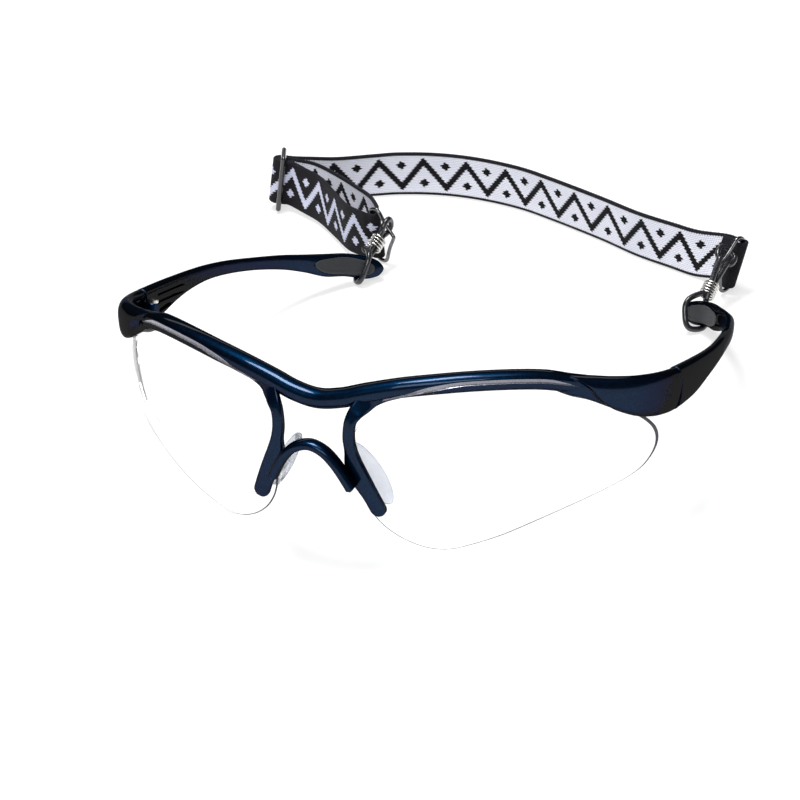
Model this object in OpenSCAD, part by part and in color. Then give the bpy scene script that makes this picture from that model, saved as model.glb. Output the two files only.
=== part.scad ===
// Sports eye guard with two wrap lenses, folding side arms and an elastic head strap.
// It stands as it lies on a table: lenses to the front at -Y, side arms running back to +Y.

/* [Lenses] */
// Radius of the front face of each lens
lens_r = 78.6; // [76:0.2:82]
// Thickness of the lens
lens_t = 2.0; // [1.6:0.1:2.4]
// Distance of each lens centre from the middle plane
lens_cx = 3.6; // [3:0.2:4.4]
// How far the lenses stand in front of the middle of the brow bar
lens_front = 3.3; // [3:0.1:3.6]
// Height of the lens centre above the table
lens_cz = 22.2; // [21.4:0.1:23]

/* [Front] */
// Height of the brow bar
bar_h = 4.5; // [3.8:0.1:5.2]
// Depth of the brow bar, front to back
bar_d = 5.2; // [4.6:0.1:5.8]
// Least width of the two nose arms
arm_w = 2.9; // [2.4:0.1:3.4]
// Thickness of the two nose arms
arm_t = 2.0; // [1.6:0.1:2.2]
// Width of the nose arch
arch_w = 2.4; // [2:0.1:2.8]
// Depth of the nose arch, front to back
arch_d = 3.6; // [3.4:0.1:4]
// Thickness of the end pieces at the hinge
end_t = 4.0; // [3.6:0.1:4.4]

/* [Hinges] */
// Distance of each hinge pin from the middle plane
hinge_x = 68.7; // [68:0.1:69.2]
// Distance of the pins behind the front
hinge_y = 44.5; // [44:0.1:45]
// Height of the middle of the hinge above the table
hinge_z = 30.6; // [30.2:0.1:31]
// Backward lean of the hinge pins, in degrees
hinge_tilt = 17.5; // [17:0.1:18]
// Diameter of the hinge barrel
barrel_d = 3.6; // [3.2:0.1:4]
// Diameter of the hinge screw
screw_d = 1.4; // [1.2:0.1:1.8]
// Height of the middle barrel
barrel_h = 2.6; // [2.2:0.1:3.2]

/* [Side arms] */
// Thickness of the side arm at its paddle
paddle_t = 3.4; // [3:0.1:3.8]
// Thickness of the side arm at its waist
waist_t = 2.8; // [2.4:0.1:3.2]
// Length of the rubber grip
grip_l = 17; // [14:0.5:18]
// Height of the rubber grip
grip_h = 5.0; // [4:0.2:5.4]
// How far the grip stands out
grip_out = 0.25; // [0.1:0.05:0.4]

/* [Cords and rings] */
// Diameter of the rubber cord
cord_d = 1.6; // [1.4:0.1:1.8]
// Diameter of the wire of the clamping coil
coil_wire = 0.55; // [0.45:0.05:0.65]
// Turns of the clamping coil
coil_turns = 4.5; // [3.5:0.5:5.5]
// Diameter of the wire of the strap rings
ring_wire = 1.1; // [0.9:0.05:1.2]

/* [Strap] */
// Width of the strap
strap_w = 14; // [12:0.5:14.2]
// Thickness of the strap
strap_t = 1.0; // [0.8:0.1:1.1]
// Diameter of the bars of the slider
slider_bar = 1.6; // [1.4:0.1:1.8]

/* [Hidden] */

// The origin lies under the middle of the whole object
origin = [12.31, -94.17, -0.115];
// Clearance between fitted pieces
fit = 0.12;
// Running clearance of the hinge pin
run = 0.05;
// Distance of the lens centre behind the middle of the brow bar
lens_cy = lens_r - lens_front;

// Helpers for curves and skins
function unit(v) = v / norm(v);
function cr(a, b, c, d, t) =
  0.5 * (2 * b + (c - a) * t + (2 * a - 5 * b + 4 * c - d) * t * t + (3 * b - a - 3 * c + d) * t * t * t);
function at(p, u) =
  let (n = len(p) - 1, i = min(floor(u), n - 1))
  cr(p[max(i - 1, 0)], p[i], p[i + 1], p[min(i + 2, n)], u - i);
function spline(p, n) = [for (k = [0:n]) at(p, k / n * (len(p) - 1))];
function ringat(p, u) =
  let (n = len(p), i = floor(u))
  cr(p[(i + n - 1) % n], p[i % n], p[(i + 1) % n], p[(i + 2) % n], u - i);
function loopline(p, n) = [for (k = [0:n - 1]) ringat(p, k / n * len(p))];
function slope(p, i) = unit(p[min(i + 1, len(p) - 1)] - p[max(i - 1, 0)]);
function slopel(p, i) = unit(p[(i + 1) % len(p)] - p[(i + len(p) - 1) % len(p)]);
function soft(c, e) = sign(c) * pow(abs(c), e);

function total(l) = [for (a = l) 1] * l;
function turned(r) =
  let (n = len(r[0]), area = total([for (j = [0:n - 1]) cross(r[0][j], r[0][(j + 1) % n])]))
  area * (total(r[1]) - total(r[0])) > 0 ? [for (a = r) [for (j = [n - 1:-1:0]) a[j]]] : r;

module skin(rings, closed = false) {
  r = turned(rings);
  n = len(r[0]);
  m = len(r);
  side = [
    for (i = [0:m - (closed ? 1 : 2)])
      for (j = [0:n - 1])
        let (a = i * n + j, b = i * n + (j + 1) % n)
        let (c = ((i + 1) % m) * n + j, d = ((i + 1) % m) * n + (j + 1) % n)
        each [[a, b, d], [a, d, c]]];
  caps = closed ? [] : [[for (j = [n - 1:-1:0]) j], [for (j = [0:n - 1]) (m - 1) * n + j]];
  polyhedron([for (a = r) for (p = a) p], concat(side, caps), convexity = 8);
}

// One moulding from several skins
module moulded() {
  resize([0, 0, 0]) union() children();
}

module both() {
  children();
  mirror([1, 0, 0]) children();
}

module placed() {
  translate(origin) children();
}

// A round tube along points, in a closed ring or open
function tube_rings(p, d, n, closed) =
  [for (i = [0:len(p) - 1])
    let (t = closed ? slopel(p, i) : slope(p, i))
    let (s = unit(cross(t, abs(t[2]) > 0.9 ? [1, 0, 0] : [0, 0, 1])), w = cross(t, s))
    [for (j = [0:n - 1]) p[i] + d / 2 * (cos(360 * j / n) * s + sin(360 * j / n) * w)]];

// A blade that stands on its edge: each station is [x, y, top, bottom, thickness]
function blade_rings(q, n, e) =
  [for (i = [0:len(q) - 1])
    let (g = q[min(i + 1, len(q) - 1)] - q[max(i - 1, 0)])
    let (t = unit([g[0], g[1]]), s = q[i], zc = (s[2] + s[3]) / 2, h = (s[2] - s[3]) / 2)
    [for (j = [0:n - 1])
      let (a = 360 * j / n, o = s[4] / 2 * soft(cos(a), e))
      [s[0] + t[1] * o, s[1] - t[0] * o, zc + h * soft(sin(a), e)]]];

// Lenses
lens_line = [
  [10.9, 18], [11.8, 13.5], [13.6, 9.6], [16.4, 6], [20.4, 2.8], [25.2, 0.6], [30, 0.3], [34.8, 1.6],
  [41.5, 3.9], [48, 6.7], [54, 9.1], [60, 11.2], [66, 13.3], [69.2, 15.4], [71.2, 19.4], [71.2, 23.8],
  [69.2, 28.2], [65.4, 32.6], [59.5, 37.4], [52, 41.2], [44, 43.2], [35, 44], [26, 43.4], [18.6, 41.8],
  [15, 39.8], [12.6, 36.8], [10.4, 33.6], [9.3, 30.4], [9.2, 27], [9.9, 23]];
lens_pts = loopline(lens_line, 90);

module lens_shell(inner, outer, n = 120) {
  translate([lens_cx, lens_cy, lens_cz]) difference() {
    sphere(r = outer, $fn = n);
    sphere(r = inner, $fn = n);
  }
}

module upright(y0, y1) {
  translate([0, y1, 0]) rotate([90, 0, 0]) linear_extrude(y1 - y0) children();
}

module lens() {
  intersection() {
    lens_shell(lens_r - lens_t, lens_r);
    upright(-12, 48) polygon(lens_pts);
  }
}

module lens_room() {
  intersection() {
    lens_shell(lens_r - lens_t - fit, lens_r + fit + 0.08, 72);
    upright(-12, 48) offset(delta = fit) polygon(lens_pts);
  }
}

module lens_left() color("lightcyan", 0.4) placed() mirror([1, 0, 0]) lens();
module lens_right() color("lightcyan", 0.4) placed() lens();

// Brow bar
bar_in = 1.7;
function on_lens(x, z) =
  lens_cy - sqrt(pow(lens_r - bar_in, 2) - pow(x - lens_cx, 2) - pow(z - lens_cz, 2));
bar_side =
  [for (p = [[12, 41.5], [20, 43.2], [28, 44.1], [36, 44.4], [44, 43.9], [50, 42.8], [55, 41]])
    [p[0], on_lens(p[0], p[1]), p[1]]];
bar_half = concat([[6, 0.2, 39.9]], bar_side);
bar_mirror = [for (i = [len(bar_half) - 1:-1:0]) [-bar_half[i][0], bar_half[i][1], bar_half[i][2]]];
bar_line = concat(bar_mirror, [[0, -0.1, 39]], bar_half);
bar_pts = spline(bar_line, 48);
bar_n = 18;
bar_rings =
  [for (i = [0:len(bar_pts) - 1])
    let (t = slope(bar_pts, i), o = unit([t[1], -t[0], 0]), w = cross(o, t))
    [for (j = [0:bar_n - 1])
      let (a = 360 * j / bar_n, k = j == bar_n - 2 ? 0.87 : 1)
      bar_pts[i] + k * (bar_d / 2 * soft(cos(a), 0.85) * o - bar_h / 2 * soft(sin(a), 0.85) * w)]];

// End pieces: x, y, top, bottom, thickness
end_line = [
  [51, on_lens(51, 42.7) - 1.4, 44.2, 41.2, 3.6], [55, on_lens(55, 41) - 1.4, 43.4, 38.3, 5],
  [59, on_lens(59, 39.4) - 2, 42.3, 36.2, 5.2], [63.2, 25.9, 41.2, 33.2, 5.2], [67.2, 29.9, 40, 29.9, 4.9],
  [69.9, 34.7, 38.6, 27.6, 4.5], [71.5, 39.6, 37.1, 26.1, 4.2], [72.3, 43.6, 35.9, 25.2, end_t],
  [72.9, 47.4, 34.7, 24.4, end_t]];

// Nose arms: x, distance in front of the lens, height, extra width on the inner and the outer side
arm_line = [
  [13.6, -3.8, 41.6, 1.4, 1.4], [11.7, -2.4, 39.4, 0.6, 1.2], [10.4, -1, 37.8, 0.2, 0.5],
  [9.4, -0.1, 35.4, 0, 0], [9.1, 0.5, 31.9, 0, 0], [9.6, 0.8, 28.8, 0.2, 0], [10.5, 0.9, 26, 1.4, 0.1],
  [11.6, 0.85, 23.2, 2.1, 0.2], [12.7, 0.7, 20.4, 1.7, 0.3], [14, 0.4, 16.7, 0.8, 0.5],
  [15.2, 0, 13.4, 0.6, 0.6]];
arm_n = 18;
arm_tip = 5;
arm_pts = spline(arm_line, arm_n);
// A round tip closes the lower end
arm_q =
  let (e = arm_pts[arm_n], d = unit(e - arm_pts[arm_n - 1]), r = arm_w / 2 + e[3])
  concat(
    [for (s = arm_pts) concat(s, 1)],
    [for (k = [1:arm_tip])
      let (a = 88 * k / arm_tip) concat(e + r * sin(a) * [d[0], d[1], d[2], 0, 0], cos(a))]);
arm_rings =
  [for (i = [0:arm_n + arm_tip])
    let (g = arm_q[min(i + 1, arm_n + arm_tip)] - arm_q[max(i - 1, 0)], t = unit([g[0], g[2]]), s = arm_q[i])
    [for (j = [0:9])
      let (c = soft(cos(36 * j + 18), 0.5), w = s[5] * (arm_w / 2 + s[c > 0 ? 3 : 4]) * c)
      let (y = -lens_front - s[1] + arm_t / 2 * soft(sin(36 * j + 18), 0.5))
      [s[0] + w * t[1], y, s[2] - w * t[0]]]];

// Nose arch: half of its line as x, distance in front of the lens and height
arch_half = [[3.6, 3.3, 28.8], [6.3, 3.4, 26.3], [8.2, 3.3, 23.4], [9.3, 3.2, 21.4], [10.1, 3.1, 19.8]];
arch_side = [for (p = arch_half) [p[0], -lens_front - p[1], p[2]]];
arch_line = concat(
  [for (i = [4:-1:0]) [-arch_side[i][0], arch_side[i][1], arch_side[i][2]]],
  [[0, -lens_front - 3, 29.8]], arch_side);
arch_pts = spline(arch_line, 26);
arch_rings =
  [for (i = [0:26])
    let (t = slope(arch_pts, i), o = unit([t[2], 0, -t[0]]), w = [0, 1, 0])
    [for (j = [0:11])
      arch_pts[i] + arch_w / 2 * soft(cos(30 * j), 0.8) * o + arch_d / 2 * soft(sin(30 * j), 0.8) * w]];

// The frame of a hinge: its pin runs along local Z
module at_hinge() {
  translate([hinge_x, hinge_y, hinge_z]) rotate([-hinge_tilt, 0, 0]) children();
}

module at_pin() {
  at_hinge() translate([0, 0, -hinge_drop]) children();
}

hinge_drop = 1.5;
lug_h = 2.0;
lug_gap = 0.15;
lug_z = barrel_h / 2 + lug_gap;
part_gap = 0.15;
wall_x = 72.3 - hinge_x;

module lug(z0, h, back) {
  difference() {
    union() {
      translate([0, 0, z0]) cylinder(d = barrel_d, h = h, $fn = 32);
      translate([0, back ? 0.5 : -barrel_d / 2, z0]) cube([wall_x, barrel_d / 2 - 0.5, h]);
    }
    translate([0, 0, z0 - 1]) cylinder(d = screw_d + 2 * run, h = h + 2, $fn = 32);
  }
}

// Room in the neighbour for a barrel to turn
module barrel_room(z0, h) {
  translate([0, 0, z0 - lug_gap]) cylinder(d = barrel_d + 0.5, h = h + 2 * lug_gap, $fn = 32);
}

module front_frame() color([0.05, 0.12, 0.25]) placed() moulded() {
  difference() {
    union() {
      skin(bar_rings);
      both() difference() {
        skin(blade_rings(spline(end_line, 20), 14, 0.7));
        at_hinge() translate([-20, -part_gap, -20]) cube([40, 40, 40]);
      }
      both() skin(arm_rings);
      skin(arch_rings);
    }
    both() lens_room();
    both() at_pin() barrel_room(-barrel_h / 2, barrel_h);
  }
  both() at_pin() {
    lug(lug_z, lug_h, false);
    lug(-lug_z - lug_h, lug_h, false);
  }
}

// Hinge screws
module hinge_screw() {
  at_pin() {
    translate([0, 0, -lug_z - lug_h]) cylinder(d = screw_d, h = 2 * (lug_z + lug_h), $fn = 48);
    translate([0, 0, lug_z + lug_h]) difference() {
      cylinder(d = barrel_d - 0.8, h = 0.8, $fn = 48);
      translate([-barrel_d, -0.2, 0.45]) cube([2 * barrel_d, 0.4, 1]);
    }
  }
}

module hinge_screw_left() color("silver") placed() mirror([1, 0, 0]) hinge_screw();
module hinge_screw_right() color("silver") placed() hinge_screw();

// Nose pads
pad_l = 18.6;
pad_d = 6.2;
pad_t = 2.6;
pad_c = [11, lens_t - lens_front + pad_d / 2 + 0.7, 19.2];

module nose_pad() {
  u = unit([-0.5, -0.08, 0.86]);
  o = across([0.55, 0.78, 0.3], u);
  n = unit(cross(u, o));
  skin([for (k = [0:12])
    let (f = -1 + k / 6, h = sqrt(max(1 - f * f, 0.02)))
    [for (j = [0:11])
      pad_c + u * pad_l / 2 * f * 0.99
        + o * pad_d / 2 * h * soft(cos(30 * j), 0.8)
        + n * pad_t / 2 * (0.45 + 0.55 * h) * soft(sin(30 * j), 0.8)]]);
}

module nose_pad_left() color("white", 0.6) placed() mirror([1, 0, 0]) nose_pad();
module nose_pad_right() color("white", 0.6) placed() nose_pad();

// Side arms, in the frame of the hinge: x from the middle plane, y, top, bottom, thickness
temple_line = [
  [72.27, -1.5, 4.95, -5.7, end_t], [72.9, 5.5, 5.2, -4.8, end_t], [73.4, 13, 5.5, -3.4, 3.8],
  [73.7, 21, 5.8, -1, 3.4], [73.6, 29, 6.2, 1, 3.1], [72.8, 38, 6.7, 2.6, 2.9],
  [71.2, 48, 6.9, 3.2, waist_t], [68.6, 59, 6.7, 3.1, waist_t], [65.4, 70, 6.4, 2.2, 3],
  [62, 78, 6, 0.8, 3.2], [58.5, 84, 5.9, -0.7, paddle_t], [54.6, 89.4, 5.9, -0.8, paddle_t],
  [50, 93, 5.3, -1.4, paddle_t], [47, 95.2, 4.1, -0.6, 3], [45.8, 96.2, 2.7, 0.8, 2]];
function temple_at(u) = at(temple_line, u);
temple_n = 48;
temple_q = spline(temple_line, temple_n);

function shifted(q) = [for (s = q) [s[0] - hinge_x, s[1], s[2], s[3], s[4]]];

// A strip on the inner face of the side arm, from depth a to depth b below that face
function strip(u0, u1, n, a, b, tops) =
  [for (k = [0:n])
    let (u = u0 + (u1 - u0) * k / n, s = temple_at(u), g = temple_at(u + 0.05) - temple_at(u - 0.05))
    let (t = unit([g[0], g[1]]), i = [-t[1], t[0]], o = s[4] / 2 - (a + b) / 2, z = tops(k / n, s))
    [s[0] + i[0] * o - hinge_x, s[1] + i[1] * o, z[0], z[1], b - a]];

grip_in = 0.6;
grip_u0 = 9.35;
grip_u1 = grip_u0 + 3.35 * grip_l / 17;
function grip_z(f, s, m) =
  let (g = max(1 - pow(abs(2 * f - 1), 2.4), 0.03), h = (grip_h / 2 + m) * sqrt(g), c = (s[2] + s[3]) / 2)
  [c + h, c - h];

module pocket(z0, z1, u0, u1, rise) {
  skin(blade_rings(strip(u0, u1, 9, -1, 0.74, function (f, s) [z1 - 0.4 * f, z0 + rise * f]), 8, 0.6));
}

module temple() {
  at_hinge() moulded() {
    difference() {
      skin(blade_rings(shifted(temple_q), 14, 0.7));
      translate([-20, -20, -20]) cube([40, 20 + part_gap, 40]);
      translate([0, 0, -hinge_drop]) barrel_room(lug_z, lug_h + 1);
      translate([0, 0, -hinge_drop]) barrel_room(-lug_z - lug_h, lug_h);
      pocket(2.4, 4, 1.21, 3.4, 0.7);
      pocket(0.4, 1.9, 1.21, 3.4, 0.7);
      pocket(-2.6, -0.1, 1.21, 2.6, 1.5);
      skin(blade_rings(
        strip(grip_u0 - 0.05, grip_u1 + 0.05, 19, -1.7, grip_in, function (f, s) grip_z(f, s, 0.23)),
        12, 0.25));
    }
    translate([0, 0, -hinge_drop]) lug(0.03 - barrel_h / 2, barrel_h - 0.06, true);
  }
}

module temple_left() color([0.05, 0.12, 0.25]) placed() mirror([1, 0, 0]) temple();
module temple_right() color([0.05, 0.12, 0.25]) placed() temple();

module temple_grip() {
  at_hinge()
    skin(blade_rings(
      strip(grip_u0, grip_u1, 20, -grip_out, grip_in - 0.05, function (f, s) grip_z(f, s, 0)), 12, 0.5));
}

module temple_grip_left() color("dimgray") placed() mirror([1, 0, 0]) temple_grip();
module temple_grip_right() color("dimgray") placed() temple_grip();

// Strap rings: a wire triangle whose base carries the strap and whose point holds the rubber loop
base_h = strap_w / 2 + ring_wire / 2 + 0.6;
eye_f = 5.4;
eye_e = 3.1;
ring_flat = [
  [0, -base_h + 1.1], [0, -3], [0, 3], [0, base_h - 1.1], [0.5, base_h - 0.25], [2.1, base_h],
  [3.2, base_h - 0.8], [4.3, 5.1], [eye_f, eye_e], [6.9, 0.9], [7.4, 0], [6.9, -0.9], [eye_f, -eye_e],
  [4.3, -5.1], [3.2, -base_h + 0.8], [2.1, -base_h], [0.5, -base_h + 0.25]];
ring_slope = ring_flat[9] - ring_flat[7];
base_left = [52.2, 147.2, 8.8];
base_right = [53.4, 158.6, 8.4];
rise_left = unit([0.12, 0, 0.99]);
rise_right = unit([0.24, 0.17, 0.95]);
function across(v, r) = unit(v - (v * r) * r);
reach_left = across([-0.94, -0.31, 0], rise_left);
reach_right = across([-0.4, -0.9, 0.2], rise_right);
wire_left = base_left + eye_f * reach_left + eye_e * rise_left;
wire_right = base_right + eye_f * reach_right + eye_e * rise_right;
slack_left = 35;
slack_right = 0;
lie_left = ring_slope[0] * reach_left + ring_slope[1] * rise_left;
lie_right = ring_slope[0] * reach_right + ring_slope[1] * rise_right;

module strap_ring(base, rise, reach) {
  p = [for (q = loopline(ring_flat, 45)) base + q[0] * reach + q[1] * rise];
  skin(tube_rings(p, ring_wire, 8, true), true);
}

module strap_ring_left()
  color("gray") placed() mirror([1, 0, 0]) strap_ring(base_left, rise_left, reach_left);
module strap_ring_right() color("gray") placed() strap_ring(base_right, rise_right, reach_right);

// Rubber loops: a closed loop along u, upright at the side arm and turned flat at the ring
paddle_c = [50.6, 133.6, 5.1];
paddle_d = unit([-0.754, 0.657, 0]);
paddle_n = unit([0.657, 0.754, 0]);
paddle_half = 3.5;
loop_roll = 30;
loop_hang = 0.25;
leg_v = cord_d / 2 + 0.04;

coil_mid = 8.2;
eye_left = 1.5;
eye_right = 1.85;
bight_left = 0.6;
bight_right = 1.8;

function loop_u(w) = unit(w - paddle_c);
function loop_v(w) = across([0, 0, 1], loop_u(w));
function loop_reach(w) = norm(w - paddle_c);
function loop_flat(r, eye, bight) =
  let (m = coil_mid, e = eye + cord_d / 2)
  let (b = paddle_t / 2 + cord_d / 2 + bight, h = paddle_half + cord_d / 2 + 0.3)
  [[-b, 0.2], [-b, 2.2], [-b * 0.7, h * 0.92], [0, h], [2.6, h * 0.98], [m - 3.4, leg_v + 0.35],
   [m - 2.6, leg_v], [m, leg_v], [m + 2.2, leg_v], [r - e * 1.1, leg_v + 0.35], [r - e * 0.6, e * 0.86],
   [r + 0.2, e], [r + e * 0.7, e * 0.8], [r + e * 0.95, 0], [r + e * 0.7, -e * 0.8], [r + 0.2, -e],
   [r - e * 0.6, -e * 0.86], [r - e * 1.1, -leg_v - 0.35], [m + 2.2, -leg_v], [m, -leg_v], [m - 2.6, -leg_v],
   [m - 3.4, -leg_v - 0.35], [2.6, -h], [0, -h - 0.3], [-b * 0.7, -h * 0.92], [-b, -2.2]];
function ease(f) = let (g = max(0, min(1, f))) g * g * (3 - 2 * g);
// Turn of the loop about its own line, so that the wire runs through its eye
function eye_turn(w, lie) =
  let (u = loop_u(w), v = loop_v(w), e = cross(u, across(lie, u)), a = atan2(e * cross(u, v), e * v))
  a > 90 ? a - 180 : a < -90 ? a + 180 : a;
function loop_pt(q, w, turn) =
  let (u = loop_u(w), v = loop_v(w), s = cross(u, v), r = loop_reach(w))
  let (f = ease((q[0] - 1.6) / (coil_mid - 4.2)))
  let (a = turn * ease((q[0] - coil_mid) / (r - coil_mid - 2.4)))
  let (pv = unit([0, 0, cos(loop_roll)] + sin(loop_roll) * paddle_d + loop_hang * paddle_n))
  paddle_c + q[0] * ((1 - f) * paddle_n + f * u) + q[1] * ((1 - f) * pv + f * (cos(a) * v + sin(a) * s));

turn_left = eye_turn(wire_left, lie_left) + slack_left;
turn_right = eye_turn(wire_right, lie_right) + slack_right;

module rubber_loop(w, turn, eye, bight) {
  p = [for (q = loopline(loop_flat(loop_reach(w), eye, bight), 65)) loop_pt(q, w, turn)];
  skin(tube_rings(p, cord_d, 8, true), true);
}

module rubber_loop_left()
  color([0.1, 0.1, 0.12]) placed() mirror([1, 0, 0]) rubber_loop(wire_left, turn_left, eye_left, bight_left);
module rubber_loop_right()
  color([0.1, 0.1, 0.12]) placed() rubber_loop(wire_right, turn_right, eye_right, bight_right);

// Clamping coils: one unbroken helix round the two legs of a loop
coil_gap = 0.43;
coil_pitch = coil_wire + coil_gap;
coil_r = (2 * leg_v - 0.04 + coil_wire / 2 + 0.06) / cos(22.5);
coil_len = coil_turns * coil_pitch;
coil_count = round(coil_turns * 8);
function coil_pts(w) =
  let (u = loop_u(w), v = loop_v(w), s = cross(u, v), c = paddle_c + coil_mid * u)
  [for (k = [0:coil_count])
    c + (k / coil_count - 0.5) * coil_len * u + coil_r * (cos(45 * k) * v + sin(45 * k) * s)];
// Gap of the coil to its next turn, from the points one turn apart
coil_run = coil_pts(wire_right);
coil_free = min([for (k = [0:coil_count - 8]) norm(coil_run[k + 8] - coil_run[k])]) - coil_wire;
echo(coil_gap_to_itself = coil_free);

module cinch_coil(w) {
  p = coil_pts(w);
  skin(tube_rings(p, coil_wire, 6, false));
}

module cinch_coil_left() color("silver") placed() mirror([1, 0, 0]) cinch_coil(wire_left);
module cinch_coil_right() color("silver") placed() cinch_coil(wire_right);

// Strap: a band that stands on its edge, each station is [x, y, height, lean in x, lean in y]
function band_rings(q) =
  [for (i = [0:len(q) - 1])
    let (g = q[min(i + 1, len(q) - 1)] - q[max(i - 1, 0)], t = unit([g[0], g[1], 0]))
    let (s = q[i], r = unit([s[3], s[4], strap_w]), n = unit(cross(t, r)) * strap_t / 2)
    let (m = [s[0], s[1], s[2]], e = r * strap_w / 2)
    [m - e - n, m - e + n, m + e + n, m + e - n]];

fold_r = ring_wire / 2 + 0.35 + strap_t / 2;
slider_c = [-96, 174.9, 9.2];
slider_lean = 3;
slider_roll = 10;
slider_turn = 24;
bar_fold = slider_bar / 2 + 0.15 + strap_t / 2;
lane = bar_fold + strap_t + 0.15;
slider_pitch = lane + strap_t / 2 + 0.3 + slider_bar / 2;
slider_m =
  [[cos(slider_turn), -sin(slider_turn), 0], [sin(slider_turn), cos(slider_turn), 0], [0, 0, 1]]
  * [[cos(slider_roll), 0, sin(slider_roll)], [0, 1, 0], [-sin(slider_roll), 0, cos(slider_roll)]]
  * [[1, 0, 0], [0, cos(slider_lean), sin(slider_lean)], [0, -sin(slider_lean), cos(slider_lean)]];
slider_up = slider_m * [0, 0, 1];

function arc(c, r, a0, a1, n, tail) =
  [for (k = [0:n])
    let (a = a0 + (a1 - a0) * k / n)
    concat([c[0] + r * cos(a), c[1] + r * sin(a)], tail)];

// The adjusting loop runs from the middle bar of the slider round the left ring and back
loop_tail = [base_left[2], -0.9, 0];
function by_bar(x, y) =
  concat(slider_c + slider_m * [x, y, 0], strap_w / slider_up[2] * [slider_up[0], slider_up[1]]);
function bar_arc(r, a0, a1, n) =
  [for (k = [0:n]) let (a = a0 + (a1 - a0) * k / n) by_bar(r * cos(a), r * sin(a))];
loop_hem = [by_bar(3.4, -0.9), by_bar(1.8, -1.25), by_bar(0.3, -bar_fold)];
loop_rear = [
  by_bar(0.3, bar_fold), by_bar(2, 1.3), by_bar(4.6, 0.6), [-84.6, 175.8, 8.3, 0, 2.4],
  [-75.2, 170.8, 8.1, -0.8, 2.6], [-65.8, 164.4, 8.2, -1.6, 2.6], [-58.2, 158.2, 8.5, -1, 1.8],
  [-53.2, 151.6, 8.8, 0, 0.8]];
loop_front = [
  [-54.6, 146, 8.8, -0.4, 0.8], [-62.2, 150.3, 8.3, -1.4, 2.8], [-70.6, 158.7, 8, -1.4, 3.6],
  [-79, 166.8, 8, -0.4, 3.6], [-86.5, 171.2, 8.3, 0.6, 2.6], by_bar(3.4, -lane - 0.3),
  by_bar(1.4, -lane), by_bar(0.2, -lane)];
loop_fold = arc([0.3 - base_left[0], base_left[1]], fold_r, 125, -125, 14, loop_tail);
loop_path = concat(
  spline(loop_hem, 4), bar_arc(bar_fold, 265, 95, 10), spline(loop_rear, 28), loop_fold,
  spline(loop_front, 28));

module strap_loop() color([0.08, 0.08, 0.1]) placed() skin(band_rings(loop_path));

// The long run: a turn beside the slider, round the back, then a folded and sewn end at the right ring
end_tail = [8.45, 3.5, 2.5];
end_dir = unit([0.93, -0.36]);
end_out = [-end_dir[1], end_dir[0]];
end_c = [base_right[0], base_right[1]];
end_a = atan2(end_out[1], end_out[0]);
flap = strap_t + 0.15;
function end_pt(s, o) = concat(end_c + s * end_dir + o * end_out, end_tail);
main_turn = concat([by_bar(0, -lane)], bar_arc(lane, 262, 98, 14), [by_bar(0, lane)]);
main_line = [
  by_bar(1.2, lane), by_bar(3.6, lane + 0.1), [-88.6, 180.2, 8.4, 1.2, 0.6], [-81, 184, 7.7, 0.8, 0],
  [-72, 189.4, 7.4, 0.6, 0], [-64, 193.2, 7.4, 0, 0], [-52, 196, 7.4, 0, 0], [-39, 196, 7.4, 0, 0],
  [-25, 193.2, 7.4, 0, 0], [-13, 188.4, 7.4, 0, 0], [6, 179.4, 7.4, 0, 0], [20, 172, 7.4, 0.2, 0.4],
  [32, 167.3, 7.4, 0.6, 0.8], [40, 164.4, 7.4, 1.2, 1.4], end_pt(-6.5, fold_r - 0.1), end_pt(-3, fold_r)];
main_fold = arc(end_c, fold_r, end_a, end_a - 180, 12, end_tail);
main_flap = [
  end_pt(-1.2, -fold_r + 0.2), end_pt(-3, fold_r - flap - 0.3), end_pt(-6.5, fold_r - flap)];
main_path = concat(main_turn, spline(main_line, 64), main_fold, spline(main_flap, 6));

module strap_main() color([0.85, 0.85, 0.9]) placed() skin(band_rings(main_path));

// Slider: three bars in a row, joined above and below the strap
slider_h = strap_w / 2 + 0.3 + slider_bar / 2;

module slider() {
  for (k = [-1:1])
    translate([0, k * slider_pitch, -slider_h]) cylinder(d = slider_bar, h = 2 * slider_h, $fn = 32);
  for (z = [-slider_h, slider_h]) {
    translate([0, -slider_pitch, z])
      rotate([-90, 0, 0]) cylinder(d = slider_bar, h = 2 * slider_pitch, $fn = 32);
    for (k = [-1, 1]) translate([0, k * slider_pitch, z]) sphere(d = slider_bar, $fn = 32);
  }
}

module strap_slider() {
  color([0.06, 0.06, 0.07]) placed() translate(slider_c)
    rotate([-slider_lean, slider_roll, slider_turn]) slider();
}

front_frame();
lens_left();
lens_right();
nose_pad_left();
nose_pad_right();
hinge_screw_left();
hinge_screw_right();
temple_left();
temple_right();
temple_grip_left();
temple_grip_right();
rubber_loop_left();
rubber_loop_right();
cinch_coil_left();
cinch_coil_right();
strap_ring_left();
strap_ring_right();
strap_slider();
strap_loop();
strap_main();
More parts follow.
